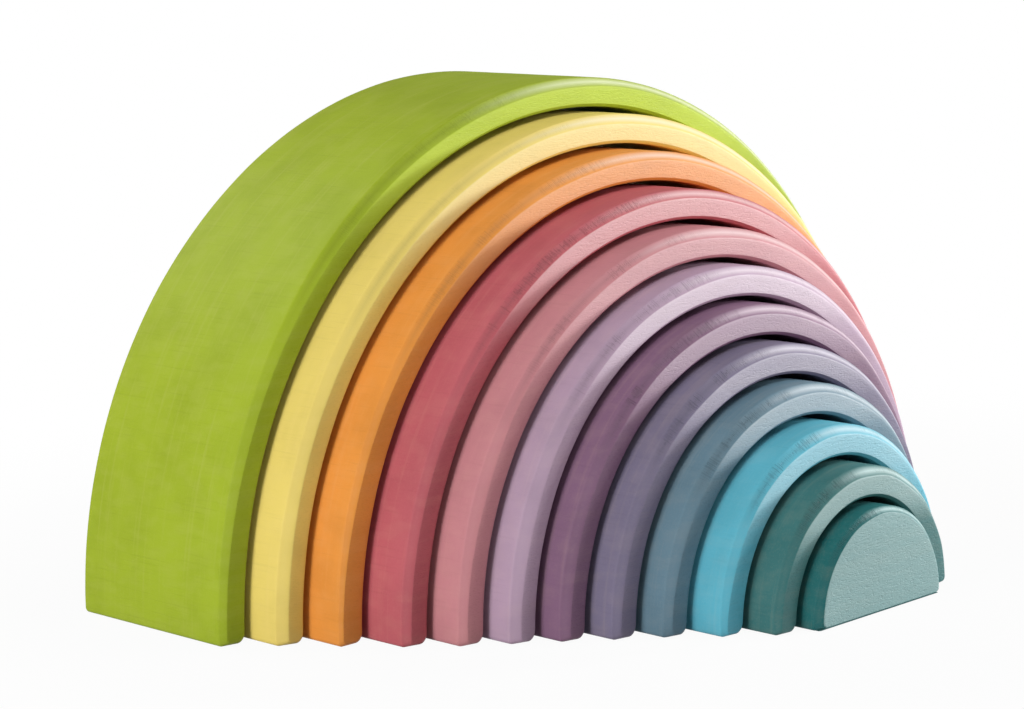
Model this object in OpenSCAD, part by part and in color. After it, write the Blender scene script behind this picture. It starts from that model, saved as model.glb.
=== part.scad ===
// Twelve-piece wooden rainbow stacker: eleven nested arches and a solid half-disc.
// The pieces share one axis, which lies along Y just above the floor. Each inner piece stands a step
// further forward, towards -Y, than the piece around it. The origin is on the floor, midway between the
// front of the half-disc and the back of the largest arch.

/* [Nest] */
// Radius of the half-disc in the middle
disc_radius = 36.5; // [25:0.5:50]
// Thickness of every arch, from its inside to its outside
band = 11; // [8:0.5:16]
// Gap that the saw leaves between one piece and the next
kerf = 2.3; // [1:0.1:4]
// Depth of every piece, from front to back
depth = 79; // [50:1:110]
// How far the feet run straight down, below the axis that the curves are turned round
foot_rise = 1.5; // [0.5:0.25:5]

/* [Edges] */
// Width of the bevel round each piece's outer rims
rim_bevel = 3; // [1:0.25:4]
// Width of the easing round each arch's inner rims
inner_ease = 1.25; // [0.5:0.25:3]
// Width of the easing round the underside of each foot
foot_ease = 1.5; // [0.5:0.25:2.5]

/* [Cascade] */
// How far the cascade is drawn out: 0 nests the pieces flush, 1 gives the steps in step_shares
spread_share = 1; // [0:0.05:2]

/* [Hidden] */
// How far a cut runs past the face that it starts from
overrun = 1;
// Each inner piece's step in front of the piece around it, as shares of the depth, from the second
// largest arch inwards. The pieces are set out by hand, so the steps aren't even
step_shares = [0.2, 0.2, 0.235, 0.18, 0.155, 0.14, 0.15, 0.15, 0.18, 0.165, 0.095];
// Half a turn, in degrees
half_turn_angle = 180;
$fn = 180;

pitch = band + kerf;
last = len(step_shares);

// Outer radius of piece i, where piece 0 is the largest arch and the last piece is the half-disc
function outer_radius(i) = disc_radius + pitch * (last - i);
function inner_radius(i) = outer_radius(i) - band;

// How far piece i stands in front of the largest arch
function forward(i) = i == 0 ? 0 : forward(i - 1) + step_shares[i - 1] * depth * spread_share;

// The middle of piece i along Y
function middle(i) = forward(last) / 2 - forward(i);

// A section turned half round the axis, and carried straight down to the floor at both ends
module half_turn() {
    translate([0, 0, foot_rise])
        rotate([90, 0, 0])
            rotate_extrude(angle = half_turn_angle)
                children();
    for (side = [0, 1])
        mirror([side, 0, 0])
            linear_extrude(height = foot_rise)
                children();
}

// An arch's section, with the radius along x and the depth along y: the outer corners are bevelled,
// and the inner ones eased
module band_section(inside, outside) {
    side = depth / 2;
    polygon([
        [inside, -side + inner_ease], [inside + inner_ease, -side],
        [outside - rim_bevel, -side], [outside, -side + rim_bevel],
        [outside, side - rim_bevel], [outside - rim_bevel, side],
        [inside + inner_ease, side], [inside, side - inner_ease]
    ]);
}

// The half-disc's section, from the axis out to its bevelled rim
module disc_section(outside) {
    side = depth / 2;
    polygon([
        [0, -side], [outside - rim_bevel, -side], [outside, -side + rim_bevel],
        [outside, side - rim_bevel], [outside - rim_bevel, side], [0, side]
    ]);
}

// Takes the sharp edge off an underside: the edge runs along Y through the origin, and the wood lies
// above it and towards -X
module edge_cut(length) {
    rotate([90, 0, 0])
        linear_extrude(height = length + 2 * overrun, center = true)
            polygon([
                [-foot_ease - overrun, -overrun],
                [overrun, -overrun],
                [overrun, foot_ease + overrun]
            ]);
}

// All four edges of a foot that stands between two distances from the axis
module foot_cuts(from, to) {
    wide = to - from;
    translate([to, 0, 0])
        edge_cut(depth);
    translate([from, 0, 0])
        mirror([1, 0, 0])
            edge_cut(depth);
    for (turn = [-90, 90])
        translate([(from + to) / 2, 0, 0])
            rotate([0, 0, turn])
                translate([depth / 2, 0, 0])
                    edge_cut(wide);
}

// Arch i, standing in its place in the cascade
module arch(i) {
    translate([0, middle(i), 0])
        difference() {
            half_turn()
                band_section(inner_radius(i), outer_radius(i));
            foot_cuts(inner_radius(i), outer_radius(i));
            foot_cuts(-outer_radius(i), -inner_radius(i));
        }
}

// The half-disc, whose whole flat underside is its foot
module half_disc() {
    translate([0, middle(last), 0])
        difference() {
            half_turn()
                disc_section(disc_radius);
            foot_cuts(-disc_radius, disc_radius);
        }
}

module lime_arch() {
    color("#a3b836") arch(0);
}

module yellow_arch() {
    color("#ecd887") arch(1);
}

module orange_arch() {
    color("#e9a35a") arch(2);
}

module crimson_arch() {
    color("#c4677a") arch(3);
}

module pink_arch() {
    color("#cf929c") arch(4);
}

module lilac_arch() {
    color("#bfaac4") arch(5);
}

module mauve_arch() {
    color("#9c7a98") arch(6);
}

module slate_arch() {
    color("#9a98b0") arch(7);
}

module steel_arch() {
    color("#87a3ae") arch(8);
}

module turquoise_arch() {
    color("#6cb9cb") arch(9);
}

module sage_arch() {
    color("#79a19b") arch(10);
}

module teal_half_disc() {
    color("#5f9c98") half_disc();
}

lime_arch();
yellow_arch();
orange_arch();
crimson_arch();
pink_arch();
lilac_arch();
mauve_arch();
slate_arch();
steel_arch();
turquoise_arch();
sage_arch();
teal_half_disc();
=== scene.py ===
"""Looks of a wooden rainbow stacker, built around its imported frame. Lengths are in metres."""

import math

import bmesh
import bpy
from mathutils import Matrix, Vector, noise


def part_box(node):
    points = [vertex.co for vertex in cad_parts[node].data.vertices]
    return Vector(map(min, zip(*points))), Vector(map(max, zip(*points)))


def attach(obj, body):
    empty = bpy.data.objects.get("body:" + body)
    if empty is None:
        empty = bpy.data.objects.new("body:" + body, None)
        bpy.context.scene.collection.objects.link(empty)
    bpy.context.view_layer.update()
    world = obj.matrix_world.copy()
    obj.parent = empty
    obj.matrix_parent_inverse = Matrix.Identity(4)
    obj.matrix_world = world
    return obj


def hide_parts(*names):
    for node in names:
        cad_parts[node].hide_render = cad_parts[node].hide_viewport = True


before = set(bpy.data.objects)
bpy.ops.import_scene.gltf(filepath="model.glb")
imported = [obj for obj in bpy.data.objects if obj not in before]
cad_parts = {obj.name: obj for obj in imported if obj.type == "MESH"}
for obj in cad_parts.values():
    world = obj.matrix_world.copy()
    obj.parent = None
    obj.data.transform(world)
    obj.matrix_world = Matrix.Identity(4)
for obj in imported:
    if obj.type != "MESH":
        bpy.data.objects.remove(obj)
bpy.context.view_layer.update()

MM = 0.001
IMAGE_WIDTH = 1024

# Camera, as fitted to the photograph
FOCAL_PIXELS = 2865.3
SENSOR_WIDTH_MM = 36.0
CAMERA_PLACE = Vector((-0.7978, -0.7111, 0.2654))
CAMERA_AZIMUTH = math.radians(45.64)
CAMERA_ELEVATION = math.radians(9.72)
CAMERA_ROLL = math.radians(-1.33)

# How far the feet run straight down below the axis of the arches
FOOT_RISE = 1.5 * MM

# Shape of the sanded edges
RIM_BEVEL_TOP = 3.3 * MM
DISC_BEVEL_TOP = 2.1 * MM
RIM_BEVEL_WAVER = 0.18
RIM_WAVERS_PER_RADIAN = 3.1
INNER_EASE = 1.1 * MM
FOOT_EASE = 1.0 * MM
FOOT_CORNER_OUTSIDE = 1.6 * MM
FOOT_CORNER_INSIDE = 3.2 * MM
EDGE_SOFT_SHARE = 0.2

# Mesh density
ARC_STEP = 2.6 * MM
FEWEST_ARC_STEPS = 24
CORNER_STEPS = 5
ROUND_STEPS = 3
DEPTH_ROWS = 14
FACE_ROWS = 4
MERGE_DISTANCE = 0.002 * MM

# How fast the mark that tells the rim from the faces rises, from the bevel's edges to its middle
RIM_MARK_RISE = 2.2

# Hand-sanded unevenness: height and wavelength of each layer of waviness, which fades out at the floor
WAVES = ((0.16 * MM, 48 * MM), (0.05 * MM, 13 * MM))
WAVE_FADE_HEIGHT = 6 * MM

# The piece that is solid. All the others are arches
SOLID_NODE = "teal_half_disc"

# Of each piece: its stain's body colour as 8-bit sRGB, how much fibre is torn out on its rim, the width of
# the rim's bevel at the feet, how strong the painted highlight (the key lamp's pale sheen, painted into
# the colour) is on the upper faces, and how far that painted highlight takes the stain's own hue
STAINS = {
    "lime_arch": ((152, 170, 43), 0.25, 2.2 * MM, 0.26, 0.9),
    "yellow_arch": ((226, 203, 109), 0.2, 3.2 * MM, 0.23, 0.25),
    "orange_arch": ((224, 145, 64), 0.45, 1.2 * MM, 0.15, 0.25),
    "crimson_arch": ((183, 93, 101), 0.9, 2.4 * MM, 0.41, 0.25),
    "pink_arch": ((191, 128, 134), 0.55, 2.4 * MM, 0.21, 0.25),
    "lilac_arch": ((174, 148, 169), 0.7, 3.2 * MM, 0.44, 0.25),
    "mauve_arch": ((126, 94, 119), 0.95, 2.7 * MM, 0.29, 0.25),
    "slate_arch": ((117, 110, 133), 0.85, 2.2 * MM, 0.29, 0.25),
    "steel_arch": ((98, 126, 141), 1.0, 2.5 * MM, 0.32, 0.25),
    "turquoise_arch": ((92, 174, 194), 0.9, 1.7 * MM, 0.30, 0.25),
    "sage_arch": ((61, 112, 112), 1.0, 1.9 * MM, 0.33, 0.25),
    "teal_half_disc": ((36, 101, 102), 1.0, 2.8 * MM, 0.32, 0.25),
}
RAW_WOOD = (232, 205, 165)

# Numbers that make each piece's grain and waviness its own
SEED_START = 0.4
SEED_STEP = 1.7
SEED_SHIFTS = (7.3, 3.7, 5.1)

# The painted highlight's linear colour, how far it takes the stain's hue, and how strong it is on the rims
PAINTED_HIGHLIGHT_COLOUR = (0.80, 0.78, 0.76, 1.0)
RIM_HIGHLIGHT_TINT = 0.25
RIM_HIGHLIGHT_SHARE = 0.68

# Where the painted highlight starts, at the edge of the shadow that the next arch in front casts on the
# face, and where it is full, as shares of the radius. Both are lower on the small arches
SMALL_RADIUS = 70 * MM
SMALL_HIGHLIGHT_SPAN = (0.47, 0.78)
LARGE_HIGHLIGHT_SPAN = (0.68, 0.90)

# Shades of a stain: soaked deep, worn towards the raw wood, and in torn fibre
DEEP_SHADE = 0.74
RAW_WOOD_SHARE = 0.15
TEAR_SHADE = 0.38

# How strongly each kind of mark colours the stain
SOAK_SHARE = 0.42
GROWTH_SHARE = 0.18
STREAK_SHARE = 0.2
PORE_SHARE = 0.35
SAW_SHARE = 0.24
SANDER_SHARE = 0.3
LEFT_RIM_SHARE = 0.8
TEAR_SHARE = 0.45

# Angles round an arch, in radians from its right foot: the middle of the darker left rim, of the torn
# fibre on the upper left, and of the lesser tearing on the right
LEFT_RIM_ANGLE = 2.05
TORN_LEFT_ANGLE = 1.98
TORN_RIGHT_ANGLE = 1.0
TORN_RIGHT_SHARE = 0.35

# Specular level of the sawn sides, and what rubbing adds to it on the faces and rims
SAWN_SHEEN = 0.08
RUBBED_SHEEN = 0.22

# Relief of the grain
BUMP_STRENGTH = 0.7
BUMP_DEPTH = 0.17 * MM

# How white the floor is to the camera close to the toy, where its shadow falls, and the distances from
# the middle over which it turns fully white
FLOOR_WHITE_SHARE = 0.95
FLOOR_SHADOW_REACH = (0.18, 0.42)
FLOOR_HALF_WIDTH = 6.0
FLOOR_GREY = (0.55, 0.55, 0.55, 1.0)
WHITE = (1.0, 1.0, 1.0, 1.0)
WORLD_STRENGTH = 0.20

# Each lamp's direction from the toy, distance, width, and power in watts
LAMP_AIM = Vector((0.0, 0.0, 0.08))
LAMPS = {
    "key": ((0.85, -0.42, 0.17), 1.7, 0.22, 25.0),
    "right_card": ((0.72, -0.68, 0.12), 1.7, 0.50, 8.0),
    "left_fill": ((-0.95, -0.06, 0.27), 1.8, 0.7, 22.5),
    "front_fill": ((-0.35, -0.90, 0.15), 1.8, 1.0, 2.5),
    "top_fill": ((0.42, -0.26, 0.86), 1.8, 0.8, 12.0),
    "back_rim": ((-0.15, 0.80, 0.55), 1.8, 1.0, 9.0),
}


def linear(colour):
    """An 8-bit sRGB colour as linear red, green, blue and alpha."""
    shares = [part / 255 for part in colour]
    return tuple(s / 12.92 if s <= 0.04045 else ((s + 0.055) / 1.055) ** 2.4 for s in shares) + (1.0,)


def blend_colours(one, other, share):
    """A colour that is a share of the way from one to the other."""
    return tuple(a + (b - a) * share for a, b in zip(one, other))


def shaded(colour, share):
    """A colour made darker, or brighter where the share is over 1."""
    return tuple(part * share for part in colour[:3]) + (1.0,)


# Shape

def rim_profile():
    """A soft bevel as (inset, depth) pairs in bevel widths, from the face round to the side."""
    soft = EDGE_SOFT_SHARE
    slant = soft / math.sqrt(2)

    def rounded(start, corner, end):
        points = []
        for step in range(ROUND_STEPS + 1):
            t = step / ROUND_STEPS
            points.append(tuple(
                (1 - t) ** 2 * a + 2 * t * (1 - t) * b + t ** 2 * c
                for a, b, c in zip(start, corner, end)
            ))
        return points

    face_edge = rounded((1 + soft, 0), (1, 0), (1 - slant, slant))
    side_edge = rounded((slant, 1 - slant), (0, 1), (0, 1 + soft))
    return face_edge + [(0.5, 0.5)] + side_edge


PROFILE = rim_profile()


def rim_width(at_foot, at_top, angle, seed):
    """The bevel's width at an angle round a piece: its own at the feet, and a little uneven."""
    width = at_foot + (at_top - at_foot) * max(0.0, math.sin(angle))
    place = Vector((angle * RIM_WAVERS_PER_RADIAN, seed, 0.0))
    return width * (1 + RIM_BEVEL_WAVER * noise.noise(place))


def foot_corner(radius, floor, turn, outside):
    """Points round a foot's lower corner on the right-hand side, from the floor up to the arc."""
    height = floor + turn
    above_axis = max(0.0, height - FOOT_RISE)
    reach = radius - turn if outside else radius + turn
    centre = math.sqrt(reach ** 2 - above_axis ** 2)
    up = math.atan2(above_axis, centre)
    start = -math.pi / 2
    end = up if outside else up - math.pi
    points = []
    for step in range(CORNER_STEPS + 1):
        angle = start + (end - start) * step / CORNER_STEPS
        points.append((centre + turn * math.cos(angle), height + turn * math.sin(angle)))
    return points, up


def arc_path(radius, floor, steps, outside):
    """Points (x, z) over an arch, from the floor at its right foot to the floor at its left foot."""
    turn = FOOT_CORNER_OUTSIDE if outside else FOOT_CORNER_INSIDE
    corner, up = foot_corner(radius, floor, turn, outside)
    arc = []
    for step in range(1, steps):
        angle = up + (math.pi - 2 * up) * step / steps
        arc.append((radius * math.cos(angle), FOOT_RISE + radius * math.sin(angle)))
    return corner + arc + [(-x, z) for x, z in reversed(corner)]


def side_rows(front, back, width):
    """Depths between the front and back bevels of one lengthwise line of the surface."""
    reach = width * (1 + EDGE_SOFT_SHARE)
    low = front + reach
    high = back - reach
    return [low + (high - low) * row / DEPTH_ROWS for row in range(1, DEPTH_ROWS)]


def over_side(lines, widths, index, front, back):
    """One line of points over a side, from the front face's edge to the back face's edge, each with
    its share of bevel."""
    width = widths[index]
    front_rim = []
    for (inset, depth), line in zip(PROFILE, lines):
        x, z = line[index]
        mark = min(1.0, RIM_MARK_RISE * min(inset, depth))
        front_rim.append((x, front + depth * width, z, mark))
    x, z = lines[-1][index]
    middle = [(x, y, z, 0.0) for y in side_rows(front, back, width)]
    back_rim = [(x, front + back - y, z, rim) for x, y, z, rim in reversed(front_rim)]
    return front_rim + middle + back_rim


def piece_mesh(name, outer_lines, inner_lines, outer_widths, inner_widths, front, back, open_feet):
    """A closed mesh of a piece. Its section follows the outer lines over the outside, and the inner
    lines over the inside or the underside."""
    verts = []
    rims = []
    faces = []

    def add(x, y, z, rim):
        verts.append((x, y, z))
        rims.append(rim)
        return len(verts) - 1

    def across(one, other):
        points = []
        a = verts[one]
        b = verts[other]
        for row in range(1, FACE_ROWS):
            share = row / FACE_ROWS
            points.append(add(*[p + (q - p) * share for p, q in zip(a, b)], 0.0))
        return points

    loops = []
    for index in range(len(outer_lines[0])):
        outer = [add(*p) for p in over_side(outer_lines, outer_widths, index, front, back)]
        inner = [add(x, y, z, 0.0)
                 for x, y, z, _ in over_side(inner_lines, inner_widths, index, front, back)]
        back_row = across(outer[-1], inner[-1])
        front_row = across(outer[0], inner[0])
        loops.append((outer, inner, front_row, back_row))

    def ring(loop):
        outer, inner, front_row, back_row = loop
        return outer + back_row + inner[::-1] + front_row[::-1]

    for one, other in zip(loops, loops[1:]):
        a = ring(one)
        b = ring(other)
        count = len(a)
        for k in range(count):
            faces.append((a[k], b[k], b[(k + 1) % count], a[(k + 1) % count]))

    if open_feet:
        for loop, flip in ((loops[0], False), (loops[-1], True)):
            outer, inner, front_row, back_row = loop
            rows = [[outer[0]] + front_row + [inner[0]]]
            for k in range(1, len(outer) - 1):
                rows.append([outer[k]] + across(outer[k], inner[k]) + [inner[k]])
            rows.append([outer[-1]] + back_row + [inner[-1]])
            for one, other in zip(rows, rows[1:]):
                for k in range(len(one) - 1):
                    face = (one[k], other[k], other[k + 1], one[k + 1])
                    faces.append(face[::-1] if flip else face)

    mesh = bpy.data.meshes.new(name)
    mesh.from_pydata(verts, [], faces)
    rim_layer = mesh.attributes.new("rim", "FLOAT", "POINT")
    rim_layer.data.foreach_set("value", rims)
    return mesh


def finish_mesh(mesh, seed):
    """Merges doubled points, faces the skin outwards, and adds the waviness of sanding by hand."""
    work = bmesh.new()
    work.from_mesh(mesh)
    bmesh.ops.remove_doubles(work, verts=work.verts, dist=MERGE_DISTANCE)
    bmesh.ops.dissolve_degenerate(work, edges=work.edges, dist=MERGE_DISTANCE)
    bmesh.ops.recalc_face_normals(work, faces=work.faces)
    work.normal_update()
    moves = []
    for vert in work.verts:
        lift = min(1.0, vert.co.z / WAVE_FADE_HEIGHT)
        move = 0.0
        for height, length in WAVES:
            move += height * noise.noise(vert.co / length + Vector((seed, 0.0, seed)))
        moves.append(vert.normal * move * lift)
    for vert, move in zip(work.verts, moves):
        vert.co += move
    work.to_mesh(mesh)
    work.free()
    mesh.shade_smooth()


def node_sizes(node):
    """Inner and outer radius, front and back of a CAD node."""
    places = [vert.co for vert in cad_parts[node].data.vertices]
    radii = [math.hypot(place.x, max(0.0, place.z - FOOT_RISE)) for place in places]
    low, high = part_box(node)
    return min(radii), max(radii), low.y, high.y


def outer_lines_over(radius, steps, at_foot, at_top, seed):
    """The lines that the bevel's steps trace over the outside, and the bevel's width along them."""
    widths = []
    for x, z in arc_path(radius, 0.0, steps, True):
        widths.append(rim_width(at_foot, at_top, math.atan2(z - FOOT_RISE, x), seed))
    lines = []
    for inset, _ in PROFILE:
        start = radius - inset * at_foot
        line = []
        for (x, z), width in zip(arc_path(start, inset * FOOT_EASE, steps, True), widths):
            share = 1 - inset * (width - at_foot) / start
            above_axis = max(0.0, z - FOOT_RISE)
            line.append((x * share, z - above_axis * (1 - share)))
        lines.append(line)
    return lines, widths


def inner_lines_over(radius, steps):
    """The lines that the easing's steps trace over the inside, and the easing's width along them."""
    lines = []
    for inset, _ in PROFILE:
        lines.append(arc_path(radius + inset * INNER_EASE, inset * FOOT_EASE, steps, False))
    return lines, [INNER_EASE] * len(lines[0])


def underside_lines(outer_lines, outer_widths):
    """The half-disc's flat underside, straight below the lines over its arc. Its easing runs into the
    rim's bevel at both ends."""
    lines = []
    for (inset, _), line in zip(PROFILE, outer_lines):
        right = line[0][0]
        left = line[-1][0]
        lines.append([(max(left, min(right, x)), inset * FOOT_EASE) for x, _ in line])
    widths = []
    last = len(outer_widths) - 1
    for index in range(last + 1):
        end = 0 if 2 * index < last else last
        share = max(0.0, min(1.0, (abs(index - end) - CORNER_STEPS) / CORNER_STEPS))
        widths.append(outer_widths[end] + (FOOT_EASE - outer_widths[end]) * share)
    return lines, widths


def make_piece(node, seed):
    """A node's visible piece, and its outer radius."""
    inner_radius, outer_radius, front, back = node_sizes(node)
    steps = max(FEWEST_ARC_STEPS, round(math.pi * outer_radius / ARC_STEP))
    solid = node == SOLID_NODE
    at_top = DISC_BEVEL_TOP if solid else RIM_BEVEL_TOP
    _, _, at_foot, _, _ = STAINS[node]
    outer_lines, outer_widths = outer_lines_over(outer_radius, steps, at_foot, at_top, seed)
    if solid:
        inner_lines, inner_widths = underside_lines(outer_lines, outer_widths)
    else:
        inner_lines, inner_widths = inner_lines_over(inner_radius, steps)
    mesh = piece_mesh("turned_" + node, outer_lines, inner_lines, outer_widths, inner_widths,
                      front, back, not solid)
    finish_mesh(mesh, seed)
    piece = bpy.data.objects.new("turned_" + node, mesh)
    bpy.context.scene.collection.objects.link(piece)
    return piece, outer_radius


# Materials

def add_node(tree, kind, inputs=None, **settings):
    """A new node. Each input is a plain value, or another node's output to link."""
    made = tree.nodes.new(kind)
    for key, value in settings.items():
        setattr(made, key, value)
    for key, value in (inputs or {}).items():
        socket = made.inputs[key]
        if isinstance(value, bpy.types.NodeSocket):
            tree.links.new(value, socket)
        else:
            socket.default_value = value
    return made


def maths(tree, operation, *values):
    """The result of one operation on values or other nodes' outputs."""
    inputs = dict(enumerate(values))
    return add_node(tree, "ShaderNodeMath", inputs, operation=operation).outputs[0]


def span(tree, value, low, high, to_low=0.0, to_high=1.0):
    """Maps a value smoothly from one range to another."""
    inputs = {"Value": value, "From Min": low, "From Max": high, "To Min": to_low, "To Max": to_high}
    made = add_node(tree, "ShaderNodeMapRange", inputs, interpolation_type="SMOOTHSTEP")
    return made.outputs["Result"]


def noise_of(tree, vector, detail=3.0, roughness=0.55):
    """Noise whose features are one unit of the vector wide."""
    inputs = {"Vector": vector, "Scale": 1.0, "Detail": detail, "Roughness": roughness}
    return add_node(tree, "ShaderNodeTexNoise", inputs).outputs["Fac"]


def stretched(tree, vector, sizes, seed):
    """A vector in which each axis is measured in its own feature size, shifted for each piece."""
    scale = tuple(1 / size for size in sizes)
    shift = tuple(seed * part for part in SEED_SHIFTS)
    inputs = {0: vector, 1: scale, 2: shift}
    return add_node(tree, "ShaderNodeVectorMath", inputs, operation="MULTIPLY_ADD").outputs[0]


def mix(tree, share, one, other):
    """A colour that is a share of the way from one to the other, inside a material."""
    inputs = {0: share, 6: one, 7: other}
    made = add_node(tree, "ShaderNodeMix", inputs, data_type="RGBA")
    return made.outputs[2]


def near_angle(tree, angle, middle, outside, inside):
    """1 where the angle is near a middle angle, fading to 0 between two distances from it."""
    distance = maths(tree, "ABSOLUTE", maths(tree, "SUBTRACT", angle, middle))
    return span(tree, distance, outside, inside)


def stained_wood(node, radius, seed):
    """Matte stain on pale wood whose fibres run along X: fibre streaks and pores, mottled soaking,
    saw and sanding marks on the curved sides, and torn fibre on the rims."""
    colour, torn, _, face_highlight_share, highlight_tint = STAINS[node]
    body = linear(colour)
    deep = shaded(body, DEEP_SHADE)
    pale = blend_colours(body, linear(RAW_WOOD), RAW_WOOD_SHARE)
    tear = shaded(body, TEAR_SHADE)
    strongest = max(body[:3])
    hue = shaded(body, 1 / strongest)
    # Colours of the painted highlight on the faces and on the rims
    face_highlight_colour = blend_colours(PAINTED_HIGHLIGHT_COLOUR, hue, highlight_tint)
    rim_highlight_colour = blend_colours(PAINTED_HIGHLIGHT_COLOUR, hue, RIM_HIGHLIGHT_TINT)

    material = bpy.data.materials.new("stain_" + node)
    material.use_nodes = True
    tree = material.node_tree
    shader = tree.nodes["Principled BSDF"]

    coordinates = add_node(tree, "ShaderNodeTexCoord")
    place = coordinates.outputs["Object"]
    axes = add_node(tree, "ShaderNodeSeparateXYZ", {0: place})
    angle = maths(tree, "ARCTAN2", axes.outputs["Z"], axes.outputs["X"])
    along = maths(tree, "MULTIPLY", angle, radius)
    round_inputs = {"X": along, "Y": axes.outputs["Y"], "Z": 0.0}
    wrapped = add_node(tree, "ShaderNodeCombineXYZ", round_inputs).outputs[0]
    rim = add_node(tree, "ShaderNodeAttribute", attribute_name="rim").outputs["Fac"]
    normal_axes = add_node(tree, "ShaderNodeSeparateXYZ", {0: coordinates.outputs["Normal"]})
    facing = maths(tree, "ABSOLUTE", normal_axes.outputs["Y"])
    face = span(tree, facing, 0.85, 0.97)
    curved = span(tree, facing, 0.5, 0.2)

    # Fibres, pores and soaked patches, in the block's own grain
    fibre = noise_of(tree, stretched(tree, place, (9 * MM, 0.7 * MM, 0.7 * MM), seed), 4.0, 0.6)
    fine_fibre = noise_of(tree, stretched(tree, place, (2.6 * MM, 0.32 * MM, 0.32 * MM), seed), 2.0)
    pores = span(tree, fine_fibre, 0.64, 0.74)
    soak = noise_of(tree, stretched(tree, place, (34 * MM, 22 * MM, 22 * MM), seed), 3.0)
    mottle = noise_of(tree, stretched(tree, place, (1.5 * MM, 0.8 * MM, 0.8 * MM), seed + 1), 2.0, 0.6)
    growth = noise_of(tree, stretched(tree, place, (160 * MM, 9 * MM, 4.5 * MM), seed), 1.0)

    # Marks on the curved sides: the saw's run across the depth, and the sander's along the arc
    saw = noise_of(tree, stretched(tree, wrapped, (0.9 * MM, 26 * MM, MM), seed), 2.0, 0.6)
    sander = noise_of(tree, stretched(tree, wrapped, (70 * MM, 2.4 * MM, MM), seed), 3.0, 0.6)

    # Painted highlight, the key lamp's pale sheen painted into the colour: on the upper faces, on the
    # whole of the half-disc's, and on the rims near the top
    share_up = maths(tree, "DIVIDE", axes.outputs["Z"], radius)
    highlight_from, highlight_full = SMALL_HIGHLIGHT_SPAN if radius < SMALL_RADIUS else LARGE_HIGHLIGHT_SPAN
    high = 1.0 if node == SOLID_NODE else span(tree, share_up, highlight_from, highlight_full)
    face_highlight_mask = maths(tree, "MULTIPLY", maths(tree, "MULTIPLY", face, high), face_highlight_share)
    # The rims' painted highlight: the key lamp's near-white glint on the bevels over the top and upper
    # right, painted into the colour
    rim_highlight_angles = maths(tree, "MULTIPLY", span(tree, angle, 1.95, 1.45), span(tree, angle, 0.3, 1.0))
    rim_highlight_mask = maths(tree, "MULTIPLY", maths(tree, "MULTIPLY", rim, rim_highlight_angles), RIM_HIGHLIGHT_SHARE)

    # Fibre torn out of the rim where the cut meets it slantwise, most on the upper left
    tick = noise_of(tree, stretched(tree, wrapped, (0.3 * MM, 9 * MM, MM), seed + 2), 1.0)
    tick_reach = noise_of(tree, stretched(tree, wrapped, (0.55 * MM, 80 * MM, MM), seed + 3), 0.0)
    tick_patch = noise_of(tree, stretched(tree, wrapped, (9 * MM, 60 * MM, MM), seed + 5), 1.0)
    left = near_angle(tree, angle, LEFT_RIM_ANGLE, 0.55, 0.25)
    right = near_angle(tree, angle, TORN_RIGHT_ANGLE, 0.6, 0.2)
    upper_left = near_angle(tree, angle, TORN_LEFT_ANGLE, 0.5, 0.22)
    where = maths(tree, "MAXIMUM", upper_left, maths(tree, "MULTIPLY", right, TORN_RIGHT_SHARE))
    tick_end = maths(tree, "SUBTRACT", rim, span(tree, tick_reach, 0.35, 0.65, 0.0, 0.7))
    tick_mask = maths(tree, "MULTIPLY", span(tree, tick, 0.46, 0.58), span(tree, tick_end, 0.05, 0.3))
    tick_mask = maths(tree, "MULTIPLY", tick_mask, maths(tree, "MULTIPLY", where, torn))
    tick_mask = maths(tree, "MULTIPLY", tick_mask, span(tree, tick_patch, 0.32, 0.55))

    # All the marks and the painted highlight, laid over the body colour in turn
    tone = mix(tree, maths(tree, "MULTIPLY", span(tree, soak, 0.35, 0.75), SOAK_SHARE), body, deep)
    tone = mix(tree, maths(tree, "MULTIPLY", span(tree, growth, 0.42, 0.7), GROWTH_SHARE), tone, pale)
    tone = mix(tree, maths(tree, "MULTIPLY", span(tree, fibre, 0.45, 0.75), STREAK_SHARE), tone, pale)
    tone = mix(tree, maths(tree, "MULTIPLY", pores, PORE_SHARE), tone, deep)
    side_marks = maths(tree, "MULTIPLY", curved, span(tree, saw, 0.5, 0.8))
    tone = mix(tree, maths(tree, "MULTIPLY", side_marks, SAW_SHARE), tone, deep)
    side_lines = maths(tree, "MULTIPLY", curved, span(tree, sander, 0.5, 0.75))
    tone = mix(tree, maths(tree, "MULTIPLY", side_lines, SANDER_SHARE), tone, pale)
    mottled = maths(tree, "MULTIPLY", face, span(tree, mottle, 0.5, 0.72))
    tone = mix(tree, maths(tree, "MULTIPLY", mottled, 0.14 + 0.16 * torn), tone, deep)
    left_rim = maths(tree, "MULTIPLY", rim, left)
    tone = mix(tree, maths(tree, "MULTIPLY", left_rim, LEFT_RIM_SHARE), tone, deep)
    # Painted highlight on the upper faces and on the rims near the top
    tone = mix(tree, face_highlight_mask, tone, face_highlight_colour)
    tone = mix(tree, rim_highlight_mask, tone, rim_highlight_colour)
    tone = mix(tree, maths(tree, "MULTIPLY", tick_mask, TEAR_SHARE), tone, tear)
    tree.links.new(tone, shader.inputs["Base Color"])

    # The faces and rims are rubbed smoother than the sawn sides, and catch a broad pale sheen
    rubbed = maths(tree, "MAXIMUM", face, rim)
    rubbed_sheen = SAWN_SHEEN + RUBBED_SHEEN * (1 - highlight_tint)
    sheen = span(tree, rubbed, 0.0, 1.0, SAWN_SHEEN, rubbed_sheen)
    tree.links.new(sheen, shader.inputs["Specular IOR Level"])
    tree.links.new(span(tree, fibre, 0.3, 0.8, 0.46, 0.58), shader.inputs["Roughness"])

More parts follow.
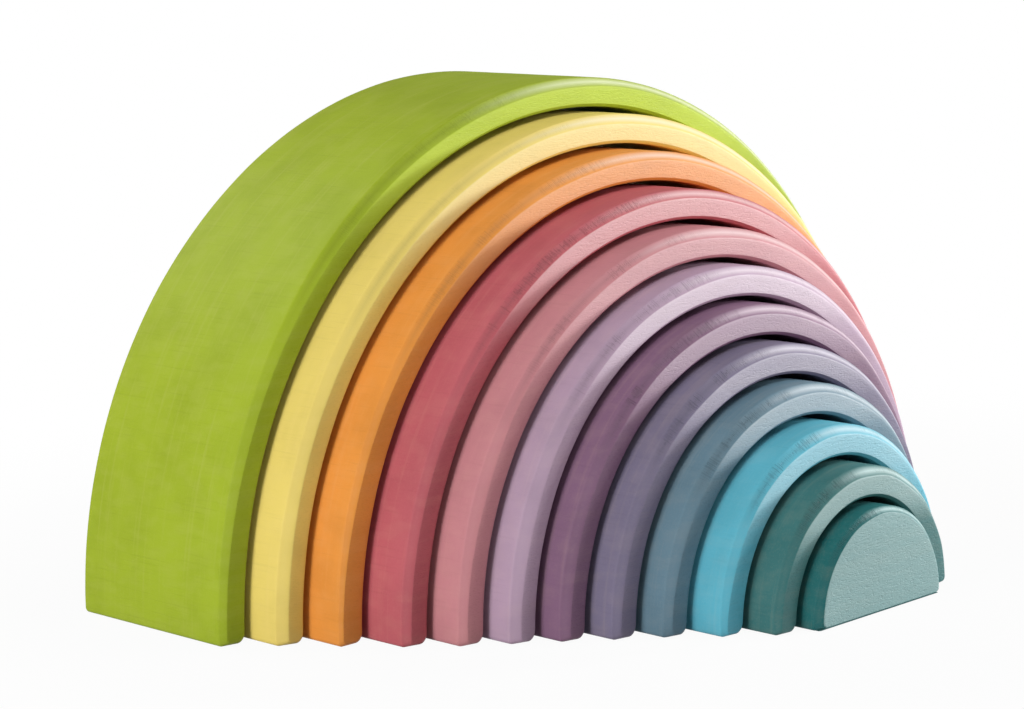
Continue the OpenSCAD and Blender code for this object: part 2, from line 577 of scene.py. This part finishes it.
    # Relief: raised fibre, most on the faces, with the marks above cut into it
    fibre_height = maths(tree, "ADD", maths(tree, "MULTIPLY", face, 0.9), 0.25)
    height = maths(tree, "MULTIPLY", fine_fibre, fibre_height)
    height = maths(tree, "SUBTRACT", height, maths(tree, "MULTIPLY", mottled, 0.15 + 0.3 * torn))
    height = maths(tree, "ADD", height, maths(tree, "MULTIPLY", side_marks, -0.25))
    height = maths(tree, "ADD", height, maths(tree, "MULTIPLY", side_lines, 0.2))
    height = maths(tree, "SUBTRACT", height, maths(tree, "MULTIPLY", tick_mask, 1.6))
    bump_inputs = {"Height": height, "Strength": BUMP_STRENGTH, "Distance": BUMP_DEPTH}
    bump = add_node(tree, "ShaderNodeBump", bump_inputs)
    tree.links.new(bump.outputs["Normal"], shader.inputs["Normal"])
    return material


def dress():
    """Makes each piece over its CAD node, which it replaces."""
    for order, node in enumerate(STAINS):
        seed = SEED_STEP * order + SEED_START
        piece, radius = make_piece(node, seed)
        piece.data.materials.append(stained_wood(node, radius, seed))
        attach(piece, node)
        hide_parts(node)


# Stage

def floor_material():
    """White to the camera, with a faint shadow, and plain pale for the light that it throws back."""
    material = bpy.data.materials.new("floor_white")
    material.use_nodes = True
    tree = material.node_tree
    tree.nodes.clear()
    plain = add_node(tree, "ShaderNodeBsdfDiffuse", {"Color": FLOOR_GREY}).outputs[0]
    white = add_node(tree, "ShaderNodeEmission", {"Color": WHITE, "Strength": 1.0}).outputs[0]
    rays = add_node(tree, "ShaderNodeLightPath")
    seen = maths(tree, "MAXIMUM", rays.outputs["Is Camera Ray"], rays.outputs["Is Glossy Ray"])
    seen = maths(tree, "MAXIMUM", seen, rays.outputs["Is Transmission Ray"])
    place = add_node(tree, "ShaderNodeTexCoord").outputs["Object"]
    away = add_node(tree, "ShaderNodeVectorMath", {0: place}, operation="LENGTH").outputs["Value"]
    near, far = FLOOR_SHADOW_REACH
    share = maths(tree, "MULTIPLY", seen, span(tree, away, near, far, FLOOR_WHITE_SHARE, 1.0))
    mixed = add_node(tree, "ShaderNodeMixShader", {0: share, 1: plain, 2: white}).outputs[0]
    output = add_node(tree, "ShaderNodeOutputMaterial")
    tree.links.new(mixed, output.inputs["Surface"])
    return material


def make_floor():
    half = FLOOR_HALF_WIDTH
    mesh = bpy.data.meshes.new("floor")
    corners = [(-half, -half, 0.0), (half, -half, 0.0), (half, half, 0.0), (-half, half, 0.0)]
    mesh.from_pydata(corners, [], [(0, 1, 2, 3)])
    floor = bpy.data.objects.new("floor", mesh)
    bpy.context.scene.collection.objects.link(floor)
    mesh.materials.append(floor_material())


def make_world():
    """Soft light from all round, and plain white to the camera."""
    world = bpy.data.worlds.new("studio")
    bpy.context.scene.world = world
    world.use_nodes = True
    tree = world.node_tree
    tree.nodes.clear()
    soft = add_node(tree, "ShaderNodeBackground", {"Color": WHITE, "Strength": WORLD_STRENGTH})
    white = add_node(tree, "ShaderNodeBackground", {"Color": WHITE, "Strength": 1.0})
    rays = add_node(tree, "ShaderNodeLightPath")
    seen = maths(tree, "MAXIMUM", rays.outputs["Is Camera Ray"], rays.outputs["Is Transmission Ray"])
    mixed = add_node(tree, "ShaderNodeMixShader", {0: seen, 1: soft.outputs[0], 2: white.outputs[0]})
    output = add_node(tree, "ShaderNodeOutputWorld")
    tree.links.new(mixed.outputs[0], output.inputs["Surface"])


def add_lamp(name, direction, distance, size, power):
    """A round lamp that shines on the toy from a direction."""
    lamp = bpy.data.lights.new(name, "AREA")
    lamp.shape = "DISK"
    lamp.size = size
    lamp.energy = power
    holder = bpy.data.objects.new(name, lamp)
    bpy.context.scene.collection.objects.link(holder)
    towards = Vector(direction).normalized()
    holder.location = LAMP_AIM + towards * distance
    holder.rotation_euler = towards.to_track_quat("Z", "Y").to_euler()


def make_lamps():
    for name, (direction, distance, size, power) in LAMPS.items():
        add_lamp(name, direction, distance, size, power)


def make_camera():
    """The photograph's camera, set from its place, azimuth, elevation and roll."""
    forward = Vector((
        math.sin(CAMERA_AZIMUTH) * math.cos(CAMERA_ELEVATION),
        math.cos(CAMERA_AZIMUTH) * math.cos(CAMERA_ELEVATION),
        -math.sin(CAMERA_ELEVATION),
    ))
    right = forward.cross(Vector((0.0, 0.0, 1.0))).normalized()
    up = right.cross(forward)
    turned_right = right * math.cos(CAMERA_ROLL) + up * math.sin(CAMERA_ROLL)
    turned_up = up * math.cos(CAMERA_ROLL) - right * math.sin(CAMERA_ROLL)
    lens = bpy.data.cameras.new("camera")
    lens.sensor_width = SENSOR_WIDTH_MM
    lens.lens = FOCAL_PIXELS * SENSOR_WIDTH_MM / IMAGE_WIDTH
    camera = bpy.data.objects.new("camera", lens)
    bpy.context.scene.collection.objects.link(camera)
    axes = Matrix((turned_right, turned_up, -forward)).transposed()
    camera.matrix_world = Matrix.Translation(CAMERA_PLACE) @ axes.to_4x4()
    bpy.context.scene.camera = camera


dress()
make_floor()
make_world()
make_lamps()
make_camera()
bpy.context.scene.view_settings.view_transform = "Standard"
